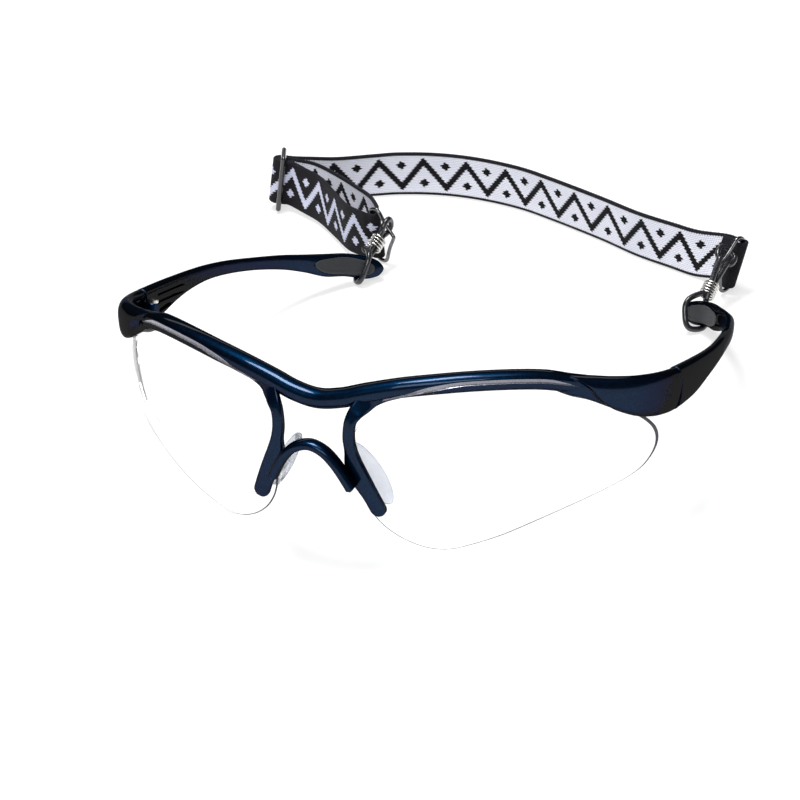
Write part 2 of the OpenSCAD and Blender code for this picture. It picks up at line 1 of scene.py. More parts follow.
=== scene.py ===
import math
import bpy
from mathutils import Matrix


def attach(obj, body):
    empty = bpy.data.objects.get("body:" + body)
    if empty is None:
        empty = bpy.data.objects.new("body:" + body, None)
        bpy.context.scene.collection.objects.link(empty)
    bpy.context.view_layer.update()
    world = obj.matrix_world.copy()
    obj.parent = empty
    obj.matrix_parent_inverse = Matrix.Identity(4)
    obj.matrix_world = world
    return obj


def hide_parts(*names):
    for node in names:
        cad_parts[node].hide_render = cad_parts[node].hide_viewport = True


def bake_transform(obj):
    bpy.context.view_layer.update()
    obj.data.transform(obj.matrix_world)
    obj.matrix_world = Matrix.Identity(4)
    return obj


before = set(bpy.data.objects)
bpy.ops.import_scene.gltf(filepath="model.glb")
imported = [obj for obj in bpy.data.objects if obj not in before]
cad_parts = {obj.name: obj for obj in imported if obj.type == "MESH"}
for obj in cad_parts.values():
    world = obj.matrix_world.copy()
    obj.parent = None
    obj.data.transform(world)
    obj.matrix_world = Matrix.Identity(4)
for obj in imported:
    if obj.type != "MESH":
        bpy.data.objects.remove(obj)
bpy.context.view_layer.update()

from types import SimpleNamespace

import bpy
import numpy as np
from mathutils import Matrix, Vector

scene = bpy.context.scene

# Lengths are in millimetres in the frame of the part's source, and ORIGIN takes them to the shared frame.
# Shapes that come in pairs are drawn for the right side, and MIRROR makes the left one.
ORIGIN = np.array([12.31, -94.17, -0.115])
MIRROR = np.array([-1.0, 1.0, 1.0])


def shared(p):
    """Metres in the shared frame."""
    return (np.asarray(p, float) + ORIGIN) / 1000


# Curves
def vec(*a):
    return np.array(a, float)


def unit(v):
    v = np.asarray(v, float)
    return v / np.linalg.norm(v)


def across(v, r):
    """The direction of v without its share along r."""
    v = np.asarray(v, float)
    return unit(v - (v @ r) * r)


def cos_sin(deg):
    return math.cos(math.radians(deg)), math.sin(math.radians(deg))


def rotation(i, j, deg):
    """A matrix that turns axis i towards axis j."""
    c, s = cos_sin(deg)
    m = np.eye(3)
    m[i, i] = m[j, j] = c
    m[j, i], m[i, j] = s, -s
    return m


def around(n):
    """The angles of n points round a section."""
    return 2 * np.pi * np.arange(n) / n


def between(a, b, c, d, t):
    """A point from b to c on a smooth curve that also passes a and d."""
    return 0.5 * (2 * b + (c - a) * t + (2 * a - 5 * b + 4 * c - d) * t * t
                  + (3 * b - a - 3 * c + d) * t ** 3)


def at(p, u):
    n = len(p) - 1
    i = int(min(max(math.floor(u), 0), n - 1))
    return between(p[max(i - 1, 0)], p[i], p[i + 1], p[min(i + 2, n)], u - i)


def spline(p, n):
    p = np.array(p, float)
    return np.array([at(p, k / n * (len(p) - 1)) for k in range(n + 1)])


def loopline(p, n):
    p = np.array(p, float)
    m = len(p)
    out = []
    for k in range(n):
        u = k / n * m
        i = int(math.floor(u))
        out.append(between(p[(i - 1) % m], p[i % m], p[(i + 1) % m], p[(i + 2) % m], u - i))
    return np.array(out)


def slopes(p, closed=False):
    g = np.roll(p, -1, 0) - np.roll(p, 1, 0)
    if not closed:
        g[0] = p[1] - p[0]
        g[-1] = p[-1] - p[-2]
    return g / np.linalg.norm(g, axis=1)[:, None]


def soft(c, e):
    """A power that keeps the sign: below 1 it fills the corners of a round section."""
    return np.sign(c) * np.abs(c) ** e


def ease(f):
    g = np.clip(f, 0.0, 1.0)
    return g * g * (3 - 2 * g)


def resampled(p, step):
    """Stations at even steps along a line, and the length up to each of them."""
    d = np.concatenate([[0], np.cumsum(np.linalg.norm(np.diff(p[:, :3], axis=0), axis=1))])
    n = max(8, int(round(d[-1] / step)))
    s = np.linspace(0, d[-1], n + 1)
    return np.stack([np.interp(s, d, p[:, k]) for k in range(p.shape[1])], 1), s


def both_sides(middle, half):
    """A line from the left end over the middle to the right end."""
    return [[-x, y, z] for x, y, z in half[::-1]] + [middle] + half


# Meshes
UV_NAME = "strap"


def placed(name, data):
    o = bpy.data.objects.new(name, data)
    scene.collection.objects.link(o)
    return o


class Build:
    """Collects skins and makes one object of them."""

    def __init__(self):
        self.v, self.f, self.uv, self.slot, self.n = [], [], [], [], 0

    def skin(self, rings, closed=False, uv=None, pick=lambda i, j: 0, mirrored=False):
        """Faces between rings of points; pick gives the material of the face after point j of ring i."""
        r = np.array(rings, float)
        if mirrored:
            r = r * MIRROR
        m, n = r.shape[:2]
        # rings run so that the faces look outward
        area = sum(np.cross(r[0][j], r[0][(j + 1) % n]) for j in range(n))
        flip = np.dot(area, r[1].mean(0) - r[0].mean(0)) < 0
        base = self.n
        self.v.append(r.reshape(-1, 3))
        self.n += m * n

        def face(corners, slot, turned):
            corners = corners[::-1] if turned else corners
            self.f.append([base + i * n + j for i, j in corners])
            self.slot.append(slot)
            if uv is not None:
                self.uv += [uv[i][j] for i, j in corners]

        for i in range(m if closed else m - 1):
            k = (i + 1) % m
            for j in range(n):
                h = (j + 1) % n
                face([(i, j), (i, h), (k, h), (k, j)], pick(i, j), flip)
        if not closed:
            for i, turned in ((0, not flip), (m - 1, flip)):
                face([(i, j) for j in range(n)], pick(i, 0), turned)
        return self

    def make(self, name, mats, body, node, slot, sharp=40):
        """The object that stands for a node; it rides on a body, if one is given."""
        me = bpy.data.meshes.new(name)
        me.from_pydata(shared(np.concatenate(self.v)).tolist(), [], self.f)
        if self.uv:
            layer = me.uv_layers.new(name=UV_NAME)
            for k, c in enumerate(self.uv):
                layer.data[k].uv = c
        for m in mats:
            me.materials.append(m)
        me.polygons.foreach_set("material_index", self.slot)
        me.polygons.foreach_set("use_smooth", [True] * len(me.polygons))
        me.validate()
        me.update()
        me.set_sharp_from_angle(angle=math.radians(sharp))
        o = placed(name, me)
        if body:
            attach(o, body)
        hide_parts(node)
        return o


def tube(p, d, n, closed=False, taper=None):
    """Rings round a line, with a frame that doesn't twist suddenly."""
    t = slopes(p, closed)
    s = np.cross(t[0], [0, 0, 1] if abs(t[0][2]) < 0.9 else [1, 0, 0])
    frames = []
    for i in range(len(p)):
        s = across(s, t[i])
        frames.append((s, np.cross(t[i], s)))
    if closed:
        # the twist left over at the seam is spread along the loop
        a, b = frames[0]
        e = frames[-1][0] - (frames[-1][0] @ t[0]) * t[0]
        twist = math.atan2(e @ b, e @ a)
        turned = []
        for i, (s, w) in enumerate(frames):
            k = -twist * i / len(p)
            turned.append((math.cos(k) * s + math.sin(k) * w, math.cos(k) * w - math.sin(k) * s))
        frames = turned
    a = around(n)
    out = []
    for i, (s, w) in enumerate(frames):
        r = d / 2 * (taper[i] if taper is not None else 1)
        out.append(p[i] + r * (np.cos(a)[:, None] * s + np.sin(a)[:, None] * w))
    return np.array(out)


def round_ends(p, d, k):
    """Adds k stations of a rounded end to both ends of a line, and gives the taper of all stations."""
    t = slopes(p)
    a = [math.pi / 2 * (i + 1) / k for i in range(k)]
    head = [p[0] - t[0] * d / 2 * math.sin(x) for x in a][::-1]
    tail = [p[-1] + t[-1] * d / 2 * math.sin(x) for x in a]
    w = [max(math.cos(x), 0.05) for x in a]
    return np.array(head + list(p) + tail), np.array(w[::-1] + [1] * len(p) + w)


def blade(q, n, e, bulge):
    """Rings of a blade on its edge: each station is x, y, top, bottom, thickness."""
    a = around(n)
    out = []
    for i, (s, t) in enumerate(zip(q, slopes(q[:, :2]))):
        o = s[4] / 2 * soft(np.cos(a), e) + bulge(i / (len(q) - 1), np.cos(a), np.sin(a))
        z = (s[2] + s[3]) / 2 + (s[2] - s[3]) / 2 * soft(np.sin(a), e)
        out.append(np.stack([s[0] + t[1] * o, s[1] - t[0] * o, z], 1))
    return np.array(out)


def blunt(ring, along):
    """Rings that round off the end of a blade, from its last ring outward."""
    m = ring.mean(0)
    return [m + (ring - m) * k + along * 0.5 * (1 - k) for k in (0.9, 0.65, 0.25)]


# Materials
class Paint:
    """A small writer of node materials: sockets and numbers go in, sockets come out."""

    def __init__(self, name, shader="BsdfPrincipled"):
        self.m = bpy.data.materials.new(name)
        self.m.use_nodes = True
        self.t = self.m.node_tree
        self.t.nodes.clear()
        self.out = self.node("OutputMaterial")
        self.b = self.node(shader)
        self.put(self.out.inputs[0], self.b.outputs[0])

    def node(self, kind, **inputs):
        n = self.t.nodes.new("ShaderNode" + kind)
        for k, v in inputs.items():
            self.put(n.inputs[k.replace("_", " ")], v)
        return n

    def put(self, socket, v):
        if hasattr(v, "is_output"):
            self.t.links.new(v, socket)
        else:
            socket.default_value = v

    def fill(self, n, values):
        for s, v in zip(n.inputs, values):
            self.put(s, v)
        return n.outputs[0]

    def op(self, kind, *args):
        n = self.node("Math")
        n.operation = kind
        return self.fill(n, args)

    def mix(self, f, a, b):
        n = self.node("Mix")
        n.data_type = "RGBA"
        self.put(n.inputs[0], f)
        self.put(n.inputs[6], a)
        self.put(n.inputs[7], b)
        return n.outputs[2]

    def ramp(self, v, lo, hi, a=0.0, b=1.0):
        n = self.node("MapRange")
        n.interpolation_type = "SMOOTHSTEP"
        return self.fill(n, (v, lo, hi, a, b))

    def here(self):
        return self.node("TexCoord").outputs["Object"]

    def noise(self, scale, detail=2.0, stretch=None):
        co = self.here()
        if stretch:
            co = self.node("Mapping", Vector=co, Scale=stretch).outputs[0]
        return self.node("TexNoise", Vector=co, Scale=scale, Detail=detail).outputs[0]

    def bump(self, height, strength, distance):
        return self.node("Bump", Strength=strength, Distance=distance, Height=height).outputs[0]

    def set(self, **inputs):
        for k, v in inputs.items():
            self.put(self.b.inputs[k.replace("_", " ")], v)
        return self

    def surface(self, f, a, b):
        """Makes the surface a mix of two shaders."""
        self.put(self.out.inputs[0], self.fill(self.node("MixShader"), (f, a, b)))
        return self.m


def see_through(p, tint):
    """Lets light through to what lies below, as a tinted shadow."""
    clear = p.node("BsdfTransparent", Color=tint)
    return p.surface(p.node("LightPath").outputs["Is Shadow Ray"], p.b.outputs[0], clear.outputs[0])


def paint_frame():
    """Dark metallic paint with fine flakes under a thin, hard coat."""
    p = Paint("metallic_navy")
    flake = p.node("TexVoronoi", Vector=p.here(), Scale=5200).outputs["Color"]
    spark = p.op("POWER", p.node("SeparateColor", Color=flake).outputs[0], 5.0)
    tone = p.mix(p.noise(60, 3), (0.0004, 0.0080, 0.026, 1), (0.0007, 0.0120, 0.039, 1))
    p.set(Base_Color=p.mix(p.op("MULTIPLY", spark, 0.3), tone, (0.004, 0.05, 0.12, 1)))
    p.set(Metallic=1.0, Roughness=p.ramp(p.noise(900, 2), 0.3, 0.7, 0.32, 0.40))
    p.set(Specular_Tint=(0.01, 0.03, 0.08, 1))
    p.set(Coat_Weight=0.05, Coat_Roughness=0.03, Coat_IOR=3.0)
    p.set(Normal=p.bump(p.noise(7000, 1), 0.10, 0.00003))
    return p.m


def paint_groove_highlight():
    """The groove along the brow bar, pale grey as a painted highlight."""
    p = Paint("groove_painted_highlight")
    # painted highlight: a pale grey in place of the light that the groove catches
    p.set(Base_Color=p.mix(p.noise(240, 3), (0.16, 0.16, 0.19, 1), (0.34, 0.34, 0.40, 1)))
    p.set(Metallic=0.6, Roughness=p.ramp(p.noise(900, 2), 0.3, 0.7, 0.22, 0.32), Coat_Weight=0.3)
    return p.m


def paint_lens():
    """Clear plastic that barely bends what lies behind it, with a hard coat that mirrors faintly."""
    p = Paint("clear_lens")
    p.set(Base_Color=(0.985, 0.988, 1.0, 1), Transmission_Weight=1.0, IOR=1.02)
    p.set(Roughness=p.ramp(p.noise(120, 4), 0.45, 0.75, 0.0, 0.02))
    p.set(Coat_Weight=0.5, Coat_Roughness=0.02, Coat_IOR=1.4)
    return see_through(p, (0.96, 0.965, 0.98, 1))


def paint_rim_shade():
    """The edge of a lens, grey with painted shade for the light that the edge bends away."""
    p = Paint("lens_edge_painted_shade")
    # painted shade: dark greys in place of the light that the edge bends away
    p.set(Base_Color=p.mix(p.noise(90, 3), (0.035, 0.037, 0.042, 1), (0.10, 0.103, 0.115, 1)))
    p.set(Roughness=p.ramp(p.noise(800, 2), 0.3, 0.7, 0.35, 0.5), Transmission_Weight=0.1, IOR=1.1)
    return p.m


def paint_silicone():
    """Milky clear silicone, with painted shade that darkens it where it is seen along its surface."""
    p = Paint("clear_silicone")
    body = p.mix(p.noise(300, 3), (0.62, 0.64, 0.69, 1), (0.84, 0.86, 0.90, 1))
    # painted shade: the colour darkens towards the outline, where the surface is seen edge-on
    edge = p.ramp(p.node("LayerWeight", Blend=0.4).outputs["Facing"], 0.35, 0.8)
    p.set(Base_Color=p.mix(edge, body, (0.20, 0.21, 0.24, 1)))
    p.set(Transmission_Weight=0.82, IOR=1.40, Specular_IOR_Level=0.7)
    p.set(Roughness=p.ramp(p.noise(700, 3), 0.3, 0.7, 0.08, 0.2))
    p.set(Normal=p.bump(p.noise(500, 2), 0.12, 0.0002))
    return see_through(p, (0.8, 0.82, 0.85, 1))


def paint_steel(name, base, dark, rough):
    p = Paint(name)
    grain = p.noise(1400, 3, stretch=(1, 1, 0.15))
    p.set(Base_Color=p.mix(p.ramp(grain, 0.35, 0.7), base, dark))
    p.set(Metallic=1.0, Roughness=p.ramp(grain, 0.3, 0.7, rough, rough + 0.12))
    p.set(Normal=p.bump(grain, 0.06, 0.0001))
    return p.m


def paint_rubber(name, colour, second, rough, grain, coat):
    p = Paint(name)
    fine = p.noise(grain, 3)
    p.set(Base_Color=p.mix(p.noise(160, 3), colour, second))
    p.set(Roughness=p.ramp(fine, 0.3, 0.7, rough, rough + 0.14), Specular_IOR_Level=0.5)
    p.set(Normal=p.bump(fine, 0.25, 0.00008), Coat_Weight=coat, Coat_Roughness=0.12)
    return p.m


# Knitted figure in millimetres: the stitch, then half length, height and half stroke of the zigzag,
# then place, half height and slope of its lozenges, and where the figure ends and the selvedge starts
STITCH = 0.56
ZIG_L, ZIG_H, ZIG_W = 7.0, 8.4, 1.45
GEM_V, GEM_H, GEM_SLOPE = 2.9, 1.5, 0.9
FIGURE_V, SELVEDGE_V = 5.35, 6.2


def paint_web(name, ground, figure, thread):
    """Knitted elastic: u runs along the strap and v across it, both in millimetres."""
    p = Paint(name)
    uv = p.node("UVMap")
    uv.uv_map = UV_NAME
    s = p.node("SeparateXYZ", Vector=uv.outputs[0])
    u, v = s.outputs[0], s.outputs[1]
    # a zigzag line with a lozenge in each bay, its edges stepped like a saw
    saw = p.op("MULTIPLY", p.op("PINGPONG", v, 0.45), 1.8)
    bay = p.op("PINGPONG", p.op("ADD", u, saw), ZIG_L)
    line = p.op("SUBTRACT", p.op("MULTIPLY", bay, ZIG_H / ZIG_L), ZIG_H / 2)
    stroke = p.op("LESS_THAN", p.op("ABSOLUTE", p.op("SUBTRACT", v, line)), ZIG_W)
    rest = p.op("ABSOLUTE", p.op("SUBTRACT", bay, ZIG_L))
    gems = [p.op("ADD", p.op("ABSOLUTE", p.op("SUBTRACT", v, mid)), p.op("MULTIPLY", off, GEM_SLOPE))
            for mid, off in ((-GEM_V, rest), (GEM_V, bay))]
    gem = p.op("LESS_THAN", p.op("MINIMUM", *gems), GEM_H)
    inside = p.op("LESS_THAN", p.op("ABSOLUTE", v), FIGURE_V)
    fig = p.op("MULTIPLY", p.op("MAXIMUM", stroke, gem), inside)
    notch = p.op("MULTIPLY", p.op("PINGPONG", u, 0.4), 0.9)
    edge = p.op("GREATER_THAN", p.op("ADD", p.op("ABSOLUTE", v), notch), SELVEDGE_V)
    # rows of stitches
    du = p.op("ADD", u, p.op("MULTIPLY", v, 0.55))
    row, col = [p.op("ABSOLUTE", p.op("SINE", p.op("MULTIPLY", x, math.pi / STITCH))) for x in (du, v)]
    stitch = p.op("MULTIPLY", row, col)
    fuzz = p.noise(900, 3)
    ground = p.mix(p.ramp(stitch, 0.02, 0.22), thread, ground)
    ground = p.mix(p.op("MULTIPLY", p.ramp(p.noise(45, 2), 0.35, 0.75), 0.1), ground, thread)
    shade = (figure[0] * 0.55, figure[1] * 0.55, figure[2] * 0.6, 1)
    mark = p.mix(p.ramp(stitch, 0.0, 0.5), shade, figure)
    rim = p.mix(fuzz, (0.006, 0.006, 0.009, 1), (0.022, 0.022, 0.028, 1))
    p.set(Base_Color=p.mix(edge, p.mix(fig, ground, mark), rim))
    p.set(Roughness=p.ramp(fuzz, 0.2, 0.8, 0.72, 0.92), Specular_IOR_Level=0.08)
    p.set(Sheen_Weight=0.03, Sheen_Roughness=0.5)
    p.set(Normal=p.bump(p.op("ADD", stitch, p.op("MULTIPLY", fuzz, 0.3)), 0.45, 0.00018))
    return p.m


def paint_floor():
    """Bright where it is looked at, straight, in a mirror or through glass, and plain for other light."""
    p = Paint("floor_white", "BsdfDiffuse").set(Color=(0.8, 0.8, 0.8, 1))
    grey = p.node("BsdfDiffuse", Color=(0.40, 0.40, 0.40, 1))
    glow = p.node("Emission", Color=(1, 1, 1, 1), Strength=0.66)
    bright = p.fill(p.node("AddShader"), (grey.outputs[0], glow.outputs[0]))
    ray = p.node("LightPath").outputs
    seen = p.op("MAXIMUM", p.op("MAXIMUM", ray["Is Camera Ray"], ray["Is Glossy Ray"]),
                ray["Is Transmission Ray"])
    return p.surface(seen, p.b.outputs[0], bright)


M_FRAME = paint_frame()
M_LENS = paint_lens()
M_RIM_SHADE = paint_rim_shade()
M_GROOVE_HIGHLIGHT = paint_groove_highlight()
M_SILICONE = paint_silicone()
M_STEEL = paint_steel("bright_steel", (0.80, 0.79, 0.76, 1), (0.62, 0.61, 0.58, 1), 0.12)
M_WIRE = paint_steel("dark_nickel", (0.20, 0.20, 0.21, 1), (0.11, 0.11, 0.12, 1), 0.10)
M_GRIP = paint_rubber(
    "grip_rubber", (0.020, 0.022, 0.026, 1), (0.030, 0.032, 0.036, 1), rough=0.55, grain=2600, coat=0.0)
M_CORD = paint_rubber(
    "cord_rubber", (0.008, 0.009, 0.012, 1), (0.014, 0.015, 0.019, 1), rough=0.22, grain=1500, coat=0.4)
M_SLIDER = paint_rubber(
    "slider_plastic", (0.007, 0.007, 0.008, 1), (0.012, 0.012, 0.014, 1), rough=0.14, grain=1200, coat=0.9)
WHITE = (0.90, 0.91, 0.97, 1)
BLACK = (0.010, 0.009, 0.011, 1)
M_LIGHT = paint_web("knit_light", WHITE, BLACK, (0.27, 0.29, 0.45, 1))
M_DARK = paint_web("knit_dark", BLACK, (0.74, 0.76, 0.92, 1), (0.026, 0.024, 0.029, 1))
M_PLAIN = paint_web("knit_plain", BLACK, (0.014, 0.013, 0.016, 1), (0.030, 0.028, 0.034, 1))

# Sides: base, rise and aim lay out the strap ring; slack, eye and bight shape the rubber loop on it
LEFT = SimpleNamespace(
    word="left", body="left_arm", mirrored=True, base=vec(52.2, 147.2, 8.8), rise=unit([0.12, 0, 0.99]),
    aim=[-0.94, -0.31, 0], slack=35, eye=1.5, bight=0.6)
RIGHT = SimpleNamespace(
    word="right", body="right_arm", mirrored=False, base=vec(53.4, 158.6, 8.4), rise=unit([0.24, 0.17, 0.95]),
    aim=[-0.4, -0.9, 0.2], slack=0, eye=1.85, bight=1.8)
SIDES = (LEFT, RIGHT)
for sd in SIDES:
    sd.reach = across(sd.aim, sd.rise)

# Lenses
LENS_R, LENS_T, LENS_C = 78.6, 2.0, vec(3.6, 75.3, 22.2)
LENS_FRONT = LENS_R - LENS_C[1]
LENS_N, LENS_MID = 360, vec(38, 23)
LENS_LINE = [
    [10.9, 18], [11.8, 13.5], [13.6, 9.6], [16.4, 6], [20.4, 2.8], [25.2, 0.6], [30, 0.3], [34.8, 1.6],
    [41.5, 3.9], [48, 6.7], [54, 9.1], [60, 11.2], [66, 13.3], [69.2, 15.4], [71.2, 19.4], [71.2, 23.8],
    [69.2, 28.2], [65.4, 32.6], [59.5, 37.4], [52, 41.2], [44, 43.2], [35, 44], [26, 43.4], [18.6, 41.8],
    [15, 39.8], [12.6, 36.8], [10.4, 33.6], [9.3, 30.4], [9.2, 27], [9.9, 23]]
# Sizes of the rings on a face, from the middle out
LENS_FACE = [0.02, 0.2, 0.4, 0.6, 0.75, 0.87, 0.94, 0.975]
# Distance from the outline and depth of the rings over the edge, from the front to the back
LENS_EDGE = [
    (0.36, 0.0), (0.18, 0.02), (0.05, 0.1), (0.0, 0.3), (0.0, LENS_T - 0.3), (0.06, LENS_T - 0.1),
    (0.22, LENS_T - 0.02), (0.5, LENS_T)]
# The painted shade of the edge: so many bands of the edge, on the free share of the outline from its first
# point
RIM_SHADE_BANDS, FREE_EDGE = 3, 16.6 / len(LENS_LINE)


def on_sphere(xz, r):
    x, z = xz[..., 0], xz[..., 1]
    y = LENS_C[1] - np.sqrt(r * r - (x - LENS_C[0]) ** 2 - (z - LENS_C[2]) ** 2)
    return np.stack([x, y, z], -1)


def lens_rings():
    line = loopline(LENS_LINE, LENS_N)
    inward = LENS_MID - line
    inward = inward / np.linalg.norm(inward, axis=1)[:, None]
    face = [LENS_MID + f * (line - LENS_MID) for f in LENS_FACE]
    rings = [on_sphere(p, LENS_R) for p in face]
    rings += [on_sphere(line + d * inward, LENS_R - k) for d, k in LENS_EDGE]
    return rings + [on_sphere(p, LENS_R - LENS_T) for p in face[::-1]]


# the first bands over the free edge take the painted shade
def lens_pick(i, j):
    return int(0 <= i - len(LENS_FACE) < RIM_SHADE_BANDS and j < FREE_EDGE * LENS_N)


for sd in SIDES:
    Build().skin(lens_rings(), pick=lens_pick, mirrored=sd.mirrored).make(
        "clear_lens_" + sd.word, [M_LENS, M_RIM_SHADE], "front", "lens_" + sd.word, "lens", sharp=60)

# Front: brow bar
BAR_H, BAR_D, BAR_IN, BAR_ROUND = 4.5, 5.2, 1.7, 0.85
BAR_SIDE = [[12, 41.5], [20, 43.2], [28, 44.1], [36, 44.4], [44, 43.9], [50, 42.8], [55, 41], [60, 38.9]]
BAR_LINE = both_sides(
    [0, -0.1, 39], [[6, 0.2, 39.9]] + [list(on_sphere(vec(*p), LENS_R - BAR_IN)) for p in BAR_SIDE])
# Points of a section below, in and above the groove, and the most degrees that the groove takes
BELOW_N, GROOVE_N, ABOVE_N, GROOVE_SPAN = 30, 9, 30, 24
front = Build()


def bar_shape():
    """Rings of the bar, and the degrees of each that the groove takes."""
    p = spline(BAR_LINE, 200)
    out, wide = [], []
    for c, t in zip(p, slopes(p)):
        o = unit([t[1], -t[0], 0])
        w = np.cross(o, t)
        ax = abs(c[0])
        # the groove runs out at its two ends
        span = GROOVE_SPAN * ease((ax - 13) / 14) * ease((57 - ax) / 7)
        wide.append(span)
        span = max(span, 1)
        offs = np.concatenate([np.linspace(-170, -4, BELOW_N), [-1.5], span * np.linspace(0, 1, GROOVE_N),
                               np.linspace(span + 4, 184, ABOVE_N)])
        # it winds from the underside at the nose to the front face
        crease = -62 + 66 * ease((ax - 9) / 26)
        a = np.radians(crease + offs)
        depth = 0.055 + 0.045 * ease((ax - 9) / 14)
        dip = np.where(offs < 0, 0.0, ease(offs / 4.0) * (1 - ease((offs - 4) / 28.0)))
        lip = 0.03 * np.exp(-(offs / 9.0) ** 2) * (offs <= 0)
        k = 1 - depth * dip + lip
        x = k * BAR_D / 2 * soft(np.cos(a), BAR_ROUND)
        z = k * BAR_H / 2 * soft(np.sin(a), BAR_ROUND)
        # the back thins out under the end piece, and the tip closes
        x = np.where(x < 0, x * (1 - 0.7 * ease((ax - 50) / 8)), x)
        close = 1 - 0.3 * ease((ax - 57.5) / 2.5)
        out.append(c + close * (x[:, None] * o + z[:, None] * w))
    return np.array(out), np.array(wide)


bar, groove = bar_shape()
# the faces in the groove take the painted highlight
front.skin(bar, pick=lambda i, j: int(0 < j - BELOW_N < GROOVE_N and groove[i] > 1.5))

# Front: end pieces, cut off at the plane of the hinge
HINGE, TILT, DROP = vec(68.7, 44.5, 30.6), 17.5, 1.5
END_T, GAP, BLADE_ROUND = 4.0, 0.15, 0.7
# Raised edge: its place along the piece, slant, run and height, and how deep the face lies before it
EDGE_AT, EDGE_SLANT, EDGE_RUN, EDGE_H, EDGE_LOW = 0.24, 0.12, 0.05, 1.5, 1.3


def by_lens(x, z, d):
    return on_sphere(vec(x, z), LENS_R - BAR_IN)[1] - d


END_LINE = [
    [51, by_lens(51, 42.7, 1.4), 44.2, 41.2, 3.6], [55, by_lens(55, 41, 1.4), 43.4, 38.3, 5],
    [59, by_lens(59, 39.4, 2), 42.3, 36.2, 5.2], [63.2, 25.9, 41.2, 33.2, 5.2], [67.2, 29.9, 40, 29.9, 4.9],
    [69.9, 34.7, 38.6, 27.6, 4.5], [71.5, 39.6, 37.1, 26.1, 4.2], [72.3, 43.6, 35.9, 25.2, END_T],
    [72.9, 47.4, 34.7, 24.4, END_T]]


def end_lift(f, c, s):
    """The outer face stands proud of the bar behind an edge that slants down and back."""
    edge = ease((f - EDGE_AT + EDGE_SLANT * s) / EDGE_RUN)
    return (c > 0) * np.abs(c) ** 0.5 * (EDGE_H * edge - EDGE_LOW)


def end_rings():
    r = blade(spline(END_LINE, 110), 72, BLADE_ROUND, end_lift)
    # stations past the hinge slide back to its plane
    c, s = cos_sin(TILT)
    rel = r - HINGE
    y = rel[..., 1] * c - rel[..., 2] * s
    keep = y.min(1) < -GAP - 0.05
    r, y = r[keep], y[keep]
    r = r - np.maximum(y + GAP, 0)[..., None] * vec(0, c, -s)
    # the rim at the joint is slightly rounded
    m = r[-1].mean(0)
    rim = m + (r[-1] - m) * 0.985
    nose = blunt(r[0], -unit(r[1].mean(0) - r[0].mean(0)))
    return np.concatenate([nose[::-1], r, [rim]])


for mirrored in (False, True):
    front.skin(end_rings(), mirrored=mirrored)

# Front: nose arms and arch
SECTION_N = 56
ARM_W, ARM_T = 2.9, 2.0
# x, distance in front of the lens, height, extra width on the inner and the outer side
ARM_LINE = [
    [20, -5.6, 42.7, 0.2, 0.2], [16.6, -4.9, 42, 0.4, 0.6], [13.6, -3.8, 40.9, 0.9, 0.9],
    [11.7, -2.4, 39.4, 0.6, 0.9], [10.4, -1, 37.8, 0.2, 0.5],
    [9.4, -0.1, 35.4, 0, 0], [9.1, 0.5, 31.9, 0, 0], [9.6, 0.8, 28.8, 0.2, 0], [10.5, 0.9, 26, 1.4, 0.1],
    [11.6, 0.85, 23.2, 2.1, 0.2], [12.7, 0.7, 20.4, 1.7, 0.3], [14, 0.4, 16.7, 0.8, 0.5],
    [15.2, 0, 13.4, 0.6, 0.6]]


def arm_rings():
    p = spline(ARM_LINE, 110)
    # the lower end is round
    d = np.concatenate([unit((p[-1] - p[-2])[:3]), [0, 0]])
    r = ARM_W / 2 + p[-1][3]
    tip = np.radians(np.linspace(8, 86, 10))
    share = np.concatenate([np.ones(len(p)), np.cos(tip)])
    p = np.concatenate([p, p[-1] + r * np.sin(tip)[:, None] * d])
    a = around(SECTION_N)
    c = soft(np.cos(a), 0.5)
    out = []
    for s, g, k in zip(p, slopes(p[:, [0, 2]]), share):
        w = k * (ARM_W / 2 + np.where(c > 0, s[3], s[4])) * c
        y = -LENS_FRONT - s[1] + ARM_T / 2 * (0.45 + 0.55 * min(1, 1.8 * k)) * soft(np.sin(a), 0.55)
        out.append(np.stack([s[0] + w * g[1], y, s[2] - w * g[0]], 1))
    return np.array(out)


for mirrored in (False, True):
    front.skin(arm_rings(), mirrored=mirrored)

ARCH_W, ARCH_D, ARCH_ROUND = 2.4, 3.6, 0.8
# x, distance in front of the lens, height
ARCH_HALF = [[3.6, 3.3, 28.8], [6.3, 3.4, 26.3], [8.2, 3.3, 23.4], [9.3, 3.2, 21.4], [10.1, 3.1, 19.8]]
ARCH_LINE = both_sides([0, -LENS_FRONT - 3, 29.8], [[x, -LENS_FRONT - d, z] for x, d, z in ARCH_HALF])
# Size of the rings at a rounded end, and how far each stands back from its tip, as a share of its length
ARCH_ENDS, ARCH_TIP = [(0.25, 0.3), (0.62, 0.7), (0.88, 0.92)], 0.7


def arch_ring(c, d, k):
    a = around(SECTION_N)
    o = unit([d[2], 0, -d[0]])
    x = k * ARCH_W / 2 * soft(np.cos(a), ARCH_ROUND)
    y = (1 - 0.35 * (1 - k)) * ARCH_D / 2 * soft(np.sin(a), ARCH_ROUND)
    return c + x[:, None] * o + y[:, None] * vec(0, 1, 0)


def arch_rings():
    p = spline(ARCH_LINE, 96)
    t = slopes(p)
    rows = [arch_ring(p[0] - t[0] * ARCH_TIP * (1 - s), t[0], k) for k, s in ARCH_ENDS]
    rows += [arch_ring(c, d, 1.0) for c, d in zip(p, t)]
    rows += [arch_ring(p[-1] + t[-1] * ARCH_TIP * (1 - s), t[-1], k) for k, s in ARCH_ENDS[::-1]]
    return np.array(rows)


front.skin(arch_rings())

# Hinge barrels, in the frame of a hinge
PIN_R, BARREL_R, BARREL_EDGE = 0.8, 1.8, 0.1
WEB_X, WEB_Y, WEB_IN = (0.2, 3.4), 0.5, 0.06
LUG, MID_H = 2.0, 2.6
LUG_Z = MID_H / 2 + 0.15


def at_hinge(r):
    return np.array(r) @ rotation(1, 2, -TILT).T + HINGE


